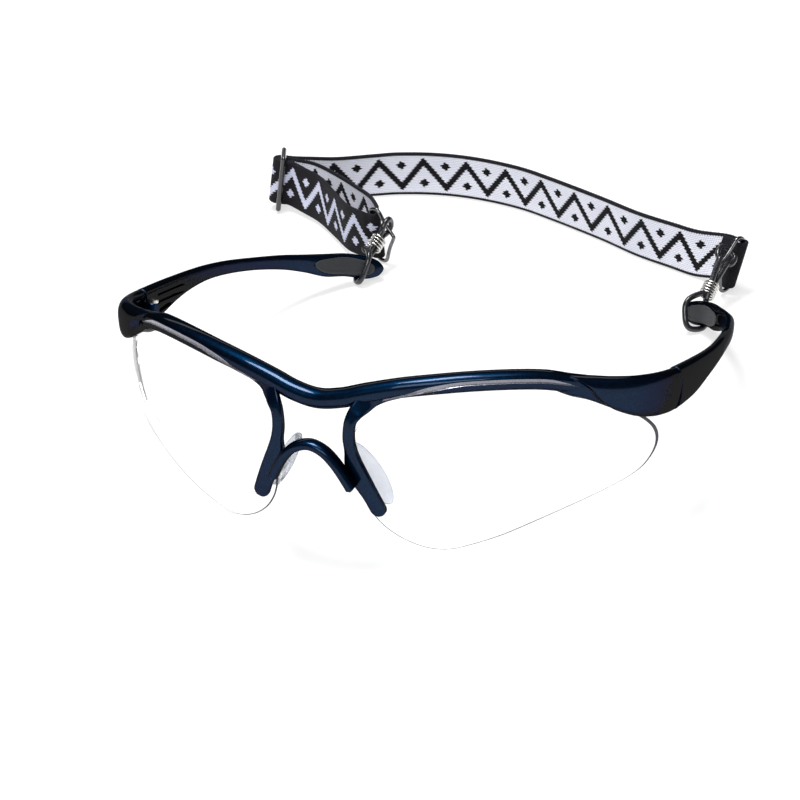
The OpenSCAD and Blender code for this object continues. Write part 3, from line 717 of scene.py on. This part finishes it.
def barrel(z0, h, back):
    """Rings of a knuckle round the pin, and of the web that joins it to its blade."""
    a = around(40)
    c = np.stack([np.cos(a), np.sin(a), 0 * a], 1)
    r, e = BARREL_R, BARREL_EDGE
    prof = [(PIN_R, 0.0), (r - e, 0.0), (r, e), (r, h - e), (r - e, h), (PIN_R, h)]
    low = z0 - DROP
    y0, y1 = (WEB_Y, BARREL_R) if back else (-BARREL_R, -WEB_Y)
    lo, hi = low + WEB_IN, low + h - WEB_IN
    web = [[vec(x, y0, lo), vec(x, y1, lo), vec(x, y1, hi), vec(x, y0, hi)] for x in WEB_X]
    return at_hinge([k * c + vec(0, 0, low + z) for k, z in prof]), at_hinge(web)


for mirrored in (False, True):
    for z0 in (LUG_Z, -LUG_Z - LUG):
        knuckle, web = barrel(z0, LUG, False)
        front.skin(knuckle, mirrored=mirrored, closed=True)
        front.skin(web, mirrored=mirrored)
front.make("painted_front", [M_FRAME, M_GROOVE_HIGHLIGHT], "front", "front_frame", "frame", sharp=38)

# Side arms: each station is x, y behind the hinge, top, bottom, thickness
TEMPLE = np.array([
    [72.27, -1.5, 4.95, -5.7, END_T], [72.9, 5.5, 5.2, -4.8, END_T], [73.4, 13, 5.5, -3.4, 3.8],
    [73.7, 21, 5.8, -1, 3.4], [73.6, 29, 6.2, 1, 3.1], [72.8, 38, 6.7, 2.6, 2.9],
    [71.2, 48, 6.9, 3.2, 2.8], [68.6, 59, 6.7, 3.1, 2.8], [65.4, 70, 6.4, 2.2, 3],
    [62, 78, 6, 0.8, 3.2], [58.5, 84, 5.9, -0.7, 3.4], [54.6, 89.4, 5.9, -0.8, 3.4],
    [50, 93, 5.3, -1.4, 3.4], [47, 95.2, 4.1, -0.6, 3], [45.8, 96.2, 2.7, 0.8, 2]], float)
TEMPLE_END = len(TEMPLE) - 1
# Pockets of the inner face: bottom, top, first and last station, rise of the bottom
POCKETS = [(2.4, 4.0, 1.21, 3.4, 0.7), (0.4, 1.9, 1.21, 3.4, 0.7), (-2.6, -0.1, 1.21, 2.6, 1.5)]
POCKET_D, POCKET_EDGE = 0.7, 0.22
# Grips: first and last station, height, depth in the arm, how far they stand out, and the seat round them
GRIP_U0, GRIP_U1, GRIP_H, GRIP_IN, GRIP_OUT = 9.35, 12.7, 5.0, 0.55, 0.25
SEAT_D, SEAT_GAP = 0.5, 0.22


def grip_half(f, m):
    return (GRIP_H / 2 + m) * math.sqrt(max(1 - abs(2 * f - 1) ** 2.4, 0.0))


def temple_frame(u):
    s = at(TEMPLE, u)
    g = at(TEMPLE, min(u + 0.05, TEMPLE_END)) - at(TEMPLE, max(u - 0.05, 0))
    return s, unit(g[:2])


def temple_cut(u, z, mid):
    """How deep the inner face lies below its blade at one station."""
    cut = 0 * z
    for z0, z1, a0, a1, rise in POCKETS:
        f = (u - a0) / (a1 - a0)
        if -0.05 < f < 1.05:
            top, low = z1 - 0.4 * f, z0 + rise * f
            along = ease((u - a0) / 0.06) * ease((a1 - u) / 0.06)
            cut = cut + POCKET_D * ease((z - low) / POCKET_EDGE) * ease((top - z) / POCKET_EDGE) * along
    f = (u - GRIP_U0) / (GRIP_U1 - GRIP_U0)
    if -0.03 < f < 1.03:
        h = grip_half(min(max(f, 0.004), 0.996), SEAT_GAP)
        along = ease((f + 0.02) / 0.02) * ease((1.02 - f) / 0.02)
        cut = cut + SEAT_D * ease((h - np.abs(z - mid)) / 0.2) * along
    return cut


def temple_rings():
    # the side arm starts at the plane of the hinge, with a slightly rounded rim
    u0 = next(u for u in np.linspace(0, 1, 400) if at(TEMPLE, u)[1] >= GAP)
    rim = {0: 0.955, 1: 0.985}
    us = np.concatenate([
        [u0, u0 + 0.012, u0 + 0.03], np.linspace(u0 + 0.06, 3.6, 110), np.linspace(3.66, 9.2, 80),
        np.linspace(9.24, 12.8, 130), np.linspace(12.84, TEMPLE_END, 30)])
    # the inner face has levels of even height, so that its pockets come out crisp
    level = np.linspace(1, -1, 92)[1:-1]
    inner_a = np.pi - np.arcsin(soft(level, 1 / BLADE_ROUND))
    a = np.concatenate([np.linspace(-0.5, 0.5, 40) * np.pi, inner_a])
    ca, sa = np.cos(a), np.sin(a)
    out = []
    for k, u in enumerate(us):
        s, t = temple_frame(u)
        size = rim.get(k, 1.0)
        mid, half = (s[2] + s[3]) / 2, (s[2] - s[3]) / 2
        z = mid + size * half * soft(sa, BLADE_ROUND)
        o = size * s[4] / 2 * soft(ca, BLADE_ROUND)
        o = np.where(ca < -0.05, o + temple_cut(u, z, mid), o)
        out.append(np.stack([s[0] + t[1] * o - HINGE[0], s[1] - t[0] * o, z], 1))
    return at_hinge(out + blunt(out[-1], unit(out[-1].mean(0) - out[-4].mean(0))))


def grip_rings():
    a = around(64)
    out = []
    for f in (1 - np.cos(np.linspace(0.06, math.pi - 0.06, 90))) / 2:
        s, t = temple_frame(GRIP_U0 + (GRIP_U1 - GRIP_U0) * f)
        h = grip_half(f, 0)
        mid = (s[2] + s[3]) / 2
        z = mid + h * soft(np.sin(a), 0.75)
        end = min(f, 1 - f)
        c = soft(np.cos(a), 0.45) * (GRIP_IN + GRIP_OUT) / 2 * (ease(end / 0.03) * 0.5 + 0.5)
        # a low crown with a shallow dish inside its rim
        dish = 0.10 * ease((h - 0.75 - np.abs(z - mid)) / 0.3) * ease((end - 0.06) / 0.03)
        c = np.where(c > 0, c - dish, c)
        o = s[4] / 2 - (GRIP_IN - GRIP_OUT) / 2 + c
        out.append(np.stack([s[0] - t[1] * o - HINGE[0], s[1] + t[0] * o, z], 1))
    return at_hinge(out)


for sd in SIDES:
    knuckle, web = barrel(-MID_H / 2, MID_H, True)
    b = Build().skin(temple_rings(), mirrored=sd.mirrored)
    b.skin(knuckle, mirrored=sd.mirrored, closed=True).skin(web, mirrored=sd.mirrored)
    b.make("painted_temple_" + sd.word, [M_FRAME], sd.body, "temple_" + sd.word, "frame", sharp=38)
    Build().skin(grip_rings(), mirrored=sd.mirrored).make(
        "rubber_grip_" + sd.word, [M_GRIP], sd.body, "temple_grip_" + sd.word, "grip", sharp=50)

# Nose pads
PAD_L, PAD_D, PAD_T = 18.6, 6.2, 2.6
PAD_C = vec(11, LENS_T - LENS_FRONT + PAD_D / 2 + 0.7, 19.2)
PAD_U = unit([-0.5, -0.08, 0.86])
PAD_O = across([0.55, 0.78, 0.3], PAD_U)
PAD_N = unit(np.cross(PAD_U, PAD_O))


def pad_rings():
    a = around(SECTION_N)
    out = []
    for f in np.sin(np.linspace(-1, 1, 61) * math.pi / 2 * 0.985):
        h = math.sqrt(max(1 - f * f, 0.0))
        y = PAD_D / 2 * h * soft(np.cos(a), 0.85)
        z = PAD_T / 2 * (0.30 + 0.70 * h) * soft(np.sin(a), 0.8)
        # a raised rim round a shallow hollow
        r = np.sqrt((y / (PAD_D / 2)) ** 2 + f * f)
        z = z * (1 - 0.22 * ease((0.72 - r) / 0.18))
        out.append(PAD_C + PAD_U * PAD_L / 2 * f * 0.99 + y[:, None] * PAD_O + z[:, None] * PAD_N)
    return np.array(out)


for sd in SIDES:
    pad = Build().skin(pad_rings(), mirrored=sd.mirrored).make(
        "silicone_pad_" + sd.word, [M_SILICONE], "front", "nose_pad_" + sd.word, "silicone", sharp=60)

# Strap rings, drawn flat: distance from the strap's side, and height
STRAP_W, STRAP_T, RING_WIRE = 14.0, 1.0, 1.1
BASE_H = STRAP_W / 2 + RING_WIRE / 2 + 0.6
EYE_F, EYE_E = 5.4, 3.1
RING_FLAT = [
    [0, -BASE_H + 1.1], [0, -3], [0, 3], [0, BASE_H - 1.1], [0.5, BASE_H - 0.25], [2.1, BASE_H],
    [3.2, BASE_H - 0.8], [4.3, 5.1], [EYE_F, EYE_E], [6.9, 0.9], [7.4, 0], [6.9, -0.9], [EYE_F, -EYE_E],
    [4.3, -5.1], [3.2, -BASE_H + 0.8], [2.1, -BASE_H], [0.5, -BASE_H + 0.25]]
EYE_I = RING_FLAT.index([EYE_F, EYE_E])

# Rubber loops: from the end of a side arm, the paddle, through a coil to the eye of a ring
CORD_D, CORD_N = 1.6, 260
PADDLE_C, PADDLE_HALF, PADDLE_T = vec(50.6, 133.6, 5.1), 3.5, 3.4
PADDLE_D, PADDLE_N = unit([-0.754, 0.657, 0]), unit([0.657, 0.754, 0])
LOOP_ROLL, LOOP_HANG, SMOOTH = 30, 0.25, 10
COIL_WIRE, COIL_TURNS, COIL_MID, COIL_GAP = 0.55, 4.5, 8.2, 0.43
LEG_GAP = 0.04
LEG = CORD_D / 2 + LEG_GAP


def loop_flat(r, eye, bight):
    m, e = COIL_MID, eye + CORD_D / 2
    b, h = PADDLE_T / 2 + CORD_D / 2 + bight, PADDLE_HALF + CORD_D / 2 + 0.3
    return [
        [-b, 0.2], [-b, 2.2], [-b * 0.7, h * 0.92], [0, h], [2.6, h * 0.98], [m - 3.4, LEG + 0.35],
        [m - 2.6, LEG], [m, LEG], [m + 2.2, LEG], [r - e * 1.1, LEG + 0.35], [r - e * 0.6, e * 0.86],
        [r + 0.2, e], [r + e * 0.7, e * 0.8], [r + e * 0.95, 0], [r + e * 0.7, -e * 0.8], [r + 0.2, -e],
        [r - e * 0.6, -e * 0.86], [r - e * 1.1, -LEG - 0.35], [m + 2.2, -LEG], [m, -LEG], [m - 2.6, -LEG],
        [m - 3.4, -LEG - 0.35], [2.6, -h], [0, -h - 0.3], [-b * 0.7, -h * 0.92], [-b, -2.2]]


def loop_frame(sd):
    """A loop's axis, two directions square to it, its length, and how far it turns up to the eye."""
    slope = vec(*RING_FLAT[EYE_I + 1]) - vec(*RING_FLAT[EYE_I - 1])
    lie = slope[0] * sd.reach + slope[1] * sd.rise
    wire = sd.base + EYE_F * sd.reach + EYE_E * sd.rise
    u = unit(wire - PADDLE_C)
    v = across([0, 0, 1], u)
    s = np.cross(u, v)
    e = np.cross(u, across(lie, u))
    turn = math.degrees(math.atan2(e @ s, e @ v))
    turn = turn - 180 if turn > 90 else turn + 180 if turn < -90 else turn
    return u, v, s, np.linalg.norm(wire - PADDLE_C), math.radians(turn + sd.slack)


def cord_line(sd, u, v, s, r, turn):
    flat = loopline(loop_flat(r, sd.eye, sd.bight), CORD_N)
    c, d = cos_sin(LOOP_ROLL)
    pv = unit(vec(0, 0, c) + d * PADDLE_D + LOOP_HANG * PADDLE_N)
    line = []
    for q in flat:
        f = ease((q[0] - 1.6) / (COIL_MID - 4.2))
        a = turn * ease((q[0] - COIL_MID) / (r - COIL_MID - 2.4))
        line.append(PADDLE_C + q[0] * ((1 - f) * PADDLE_N + f * u)
                    + q[1] * ((1 - f) * pv + f * (math.cos(a) * v + math.sin(a) * s)))
    line = np.array(line)
    # the line is smoothed where it goes round the paddle
    free = 1 - ease((flat[:, 0] - COIL_MID + 5.2) / 2.2)
    eased = sum(np.roll(line, k, 0) * (SMOOTH - abs(k)) for k in range(1 - SMOOTH, SMOOTH)) / SMOOTH ** 2
    return line + free[:, None] * (eased - line)


def coil_line(u, v, s):
    """The wire of the coil that clamps the two legs."""
    r = (2 * LEG - LEG_GAP + COIL_WIRE / 2 + 0.06) / math.cos(math.radians(22.5)) - 0.08
    k = np.linspace(0, COIL_TURNS, 220)
    along = COIL_MID + (k / COIL_TURNS - 0.5) * COIL_TURNS * (COIL_WIRE + COIL_GAP)
    a = 2 * np.pi * k
    return PADDLE_C + along[:, None] * u + r * (np.cos(a)[:, None] * v + np.sin(a)[:, None] * s)


for sd in SIDES:
    u, v, s, r, turn = loop_frame(sd)
    line = cord_line(sd, u, v, s, r, turn)
    Build().skin(tube(line, CORD_D, 20, True), closed=True, mirrored=sd.mirrored).make(
        "rubber_cord_" + sd.word, [M_CORD], sd.body, "rubber_loop_" + sd.word, "cord")
    line, taper = round_ends(coil_line(u, v, s), COIL_WIRE, 4)
    Build().skin(tube(line, COIL_WIRE, 14, False, taper), mirrored=sd.mirrored).make(
        "clamp_coil_" + sd.word, [M_STEEL], sd.body, "cinch_coil_" + sd.word, "steel")
    line = np.array([sd.base + q[0] * sd.reach + q[1] * sd.rise for q in loopline(RING_FLAT, 204)])
    Build().skin(tube(line, RING_WIRE, 18, True), closed=True, mirrored=sd.mirrored).make(
        "wire_ring_" + sd.word, [M_WIRE], sd.body, "strap_ring_" + sd.word, "wire")

# Strap: each station is x, y, height, lean in x, lean in y
SLIDER_C, SLIDER_BAR = vec(-96, 174.9, 9.2), 1.6
SLIDER_M = rotation(0, 1, 24) @ rotation(2, 0, 10) @ rotation(2, 1, 3)
SLIDER_UP = SLIDER_M @ vec(0, 0, 1)
SLIDER_LEAN = list(STRAP_W / SLIDER_UP[2] * SLIDER_UP[:2])
LAYER_GAP = 0.15
FOLD_R = RING_WIRE / 2 + 0.35 + STRAP_T / 2
BAR_FOLD = SLIDER_BAR / 2 + LAYER_GAP + STRAP_T / 2
LANE = BAR_FOLD + STRAP_T + LAYER_GAP


def by_bar(x, y):
    """A station beside the slider's middle bar."""
    return list(SLIDER_C + SLIDER_M @ vec(x, y, 0)) + SLIDER_LEAN


def bar_arc(r, a0, a1, n):
    return [by_bar(r * math.cos(a), r * math.sin(a)) for a in np.radians(np.linspace(a0, a1, n + 1))]


def arc(c, r, a0, a1, n, tail):
    return [[c[0] + r * math.cos(a), c[1] + r * math.sin(a)] + list(tail)
            for a in np.radians(np.linspace(a0, a1, n + 1))]


LOOP_HEM = [by_bar(3.4, -0.9), by_bar(1.8, -1.25), by_bar(0.3, -BAR_FOLD)]
LOOP_REAR = [
    by_bar(0.3, BAR_FOLD), by_bar(2, 1.3), by_bar(4.6, 0.6), [-84.6, 175.8, 8.3, 0, 2.4],
    [-75.2, 170.8, 8.1, -0.8, 2.6], [-65.8, 164.4, 8.2, -1.6, 2.6], [-58.2, 158.2, 8.5, -1, 1.8],
    [-53.2, 151.6, 8.8, 0, 0.8]]
LOOP_FRONT = [
    [-54.6, 146, 8.8, -0.4, 0.8], [-62.2, 150.3, 8.3, -1.4, 2.8], [-70.6, 158.7, 8, -1.4, 3.6],
    [-79, 166.8, 8, -0.4, 3.6], [-86.5, 171.2, 8.3, 0.6, 2.6], by_bar(3.4, -LANE - 0.3),
    by_bar(1.4, -LANE), by_bar(0.2, -LANE)]
loop_path = np.array(
    list(spline(LOOP_HEM, 8)) + bar_arc(BAR_FOLD, 265, 95, 20) + list(spline(LOOP_REAR, 84))
    + arc([0.3 - LEFT.base[0], LEFT.base[1]], FOLD_R, 125, -125, 32, [LEFT.base[2], -0.9, 0])
    + list(spline(LOOP_FRONT, 84)))

# The long run ends in a flap that is turned over round the right ring
END_TAIL = [8.45, 3.5, 2.5]
END_DIR = unit([0.93, -0.36])
END_OUT = vec(-END_DIR[1], END_DIR[0])
END_A = math.degrees(math.atan2(END_OUT[1], END_OUT[0]))
FLAP = STRAP_T + LAYER_GAP


def end_pt(s, o):
    return list(RIGHT.base[:2] + s * END_DIR + o * END_OUT) + END_TAIL


MAIN_LINE = [
    by_bar(1.2, LANE), by_bar(3.6, LANE + 0.1), [-88.6, 180.2, 8.4, 1.2, 0.6], [-81, 184, 7.7, 0.8, 0],
    [-72, 189.4, 7.4, 0.6, 0], [-64, 193.2, 7.4, 0, 0], [-52, 196, 7.4, 0, 0], [-39, 196, 7.4, 0, 0],
    [-25, 193.2, 7.4, 0, 0], [-13, 188.4, 7.4, 0, 0], [6, 179.4, 7.4, 0, 0], [20, 172, 7.4, 0.2, 0.4],
    [32, 167.3, 7.4, 0.6, 0.8], [40, 164.4, 7.4, 1.2, 1.4], end_pt(-6.5, FOLD_R - 0.1), end_pt(-3, FOLD_R)]
MAIN_FLAP = [end_pt(-1.2, -FOLD_R + 0.2), end_pt(-3, FOLD_R - FLAP - 0.3), end_pt(-6.5, FOLD_R - FLAP)]
main_path = np.array(
    [by_bar(0, -LANE)] + bar_arc(LANE, 262, 98, 30) + [by_bar(0, LANE)] + list(spline(MAIN_LINE, 200))
    + arc(RIGHT.base[:2], FOLD_R, END_A, END_A - 180, 28, END_TAIL) + list(spline(MAIN_FLAP, 14)))

# Places of the points across a face of the band, and the length at its right end whose dark face is plain
COLS, BAND_STEP, PLAIN_END = np.linspace(-6.72, 6.72, 25), 0.45, 56.9
SELVEDGE, SELVEDGE_WAVE = STRAP_W / 2, 1.12


def band(path, s0):
    """Rings and flat coordinates of a band with rounded selvedges: the light face first, then the dark one."""
    q, s = resampled(path, BAND_STEP)
    h = STRAP_T / 2
    face = [(c, h * (1 - 0.06 * (abs(c) / SELVEDGE) ** 6)) for c in COLS]
    rings, uv = [], []
    for i, t in enumerate(slopes(q[:, :2])):
        r = unit([q[i][3], q[i][4], STRAP_W])
        n = unit(np.cross([t[0], t[1], 0], r))
        out = SELVEDGE + 0.05 * math.sin(2 * math.pi * s[i] / SELVEDGE_WAVE)
        half = face + [(out - 0.08, h * 0.72), (out, 0.0), (out - 0.08, -h * 0.72)]
        pts = half + [(-c, -d) for c, d in half]
        rings.append([q[i][:3] + c * r + d * n for c, d in pts])
        uv.append([(s[i] + s0, c) for c, d in pts])
    return np.array(rings), uv, s


def strap(name, path, s0, body, node, blend=None, plain=0):
    rings, uv, s = band(path, s0)
    length, last = s[-1], rings.shape[1] - 1

    def pick(i, j):
        if j <= len(COLS) or j == last:
            return 0
        return 2 if length - s[i] < plain else 1

    o = Build().skin(rings, uv=uv, pick=pick).make(
        name, [M_LIGHT, M_DARK, M_PLAIN], body, node, "webbing_light", sharp=50)
    if blend:
        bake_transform(o)
    return length


# The long run is cut behind the front, and each half is drawn between the front and an arm
CUT = (-16, 189, 7.4)
cut = int(np.argmin(np.abs(main_path[:, 0] - CUT[0]) + 100 * (main_path[:, 1] < 180)))
so_far = strap(
    "knit_loop", loop_path, 0.0, "left_arm", "strap_loop")
so_far += strap(
    "knit_run_left", main_path[:cut + 1], so_far, None, "strap_main",
    ("front", "left_arm", CUT, (-84, 183, 8)))
strap(
    "knit_run_right", main_path[cut:], so_far, None, "strap_main",
    ("front", "right_arm", CUT, (40, 164, 7.4)), PLAIN_END)

# CAD pieces that stay
for n, m in (("hinge_screw_left", M_STEEL), ("hinge_screw_right", M_STEEL), ("strap_slider", M_SLIDER)):
    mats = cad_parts[n].data.materials
    mats.clear()
    mats.append(m)

# Floor, in metres
FLOOR, FLOOR_Z = 6, -0.0002
corners = [(x * FLOOR, y * FLOOR, FLOOR_Z) for x, y in ((-1, -1), (1, -1), (1, 1), (-1, 1))]
me = bpy.data.meshes.new("floor")
me.from_pydata(corners, [], [(0, 1, 2, 3)])
me.materials.append(paint_floor())
floor = placed("floor", me)

# Light, in metres and watts
world = bpy.data.worlds.new("studio")
scene.world = world
world.use_nodes = True
sky = world.node_tree.nodes["Background"].inputs
sky[0].default_value = (0.93, 0.96, 1.0, 1)
sky[1].default_value = 0.12


def lamp(name, place, aim, size, watts):
    d = bpy.data.lights.new(name, "AREA")
    d.shape = "RECTANGLE"
    d.size, d.size_y = size
    d.energy = watts
    o = placed(name, d)
    o.location = place
    o.rotation_euler = (Vector(aim) - Vector(place)).to_track_quat("-Z", "Y").to_euler()


lamp("top_box", (0.0, 0.05, 1.1), (0, 0, 0), (0.5, 0.4), 1.5)
lamp("back_panel", (-0.5, 0.95, 0.52), (0, 0, 0.03), (0.9, 0.14), 1.6)
lamp("front_box", (0.2, -0.95, 0.95), (0, 0, 0.03), (0.9, 0.5), 8.5)
lamp("key_box", (-0.14, 0.04, 0.85), (0, -0.05, 0.03), (0.35, 0.24), 7.0)

# Camera
CAM_AT = vec(244.3, -478.7, 326.0)
CAM_RIGHT = vec(0.91703, 0.39503, -0.05488)
CAM_UP = vec(-0.14340, 0.45499, 0.87889)
CAM_AHEAD = vec(-0.37216, 0.79809, -0.47388)
cam = bpy.data.cameras.new("camera")
cam.sensor_width, cam.lens = 36, 117
cam.clip_start, cam.clip_end = 0.01, 50
eye = placed("camera", cam)
m = np.eye(4)
m[:3, 0], m[:3, 1], m[:3, 2] = unit(CAM_RIGHT), unit(CAM_UP), -unit(CAM_AHEAD)
m[:3, 3] = shared(CAM_AT)
eye.matrix_world = Matrix(m.tolist())
scene.camera = eye
scene.view_settings.view_transform = "Standard"
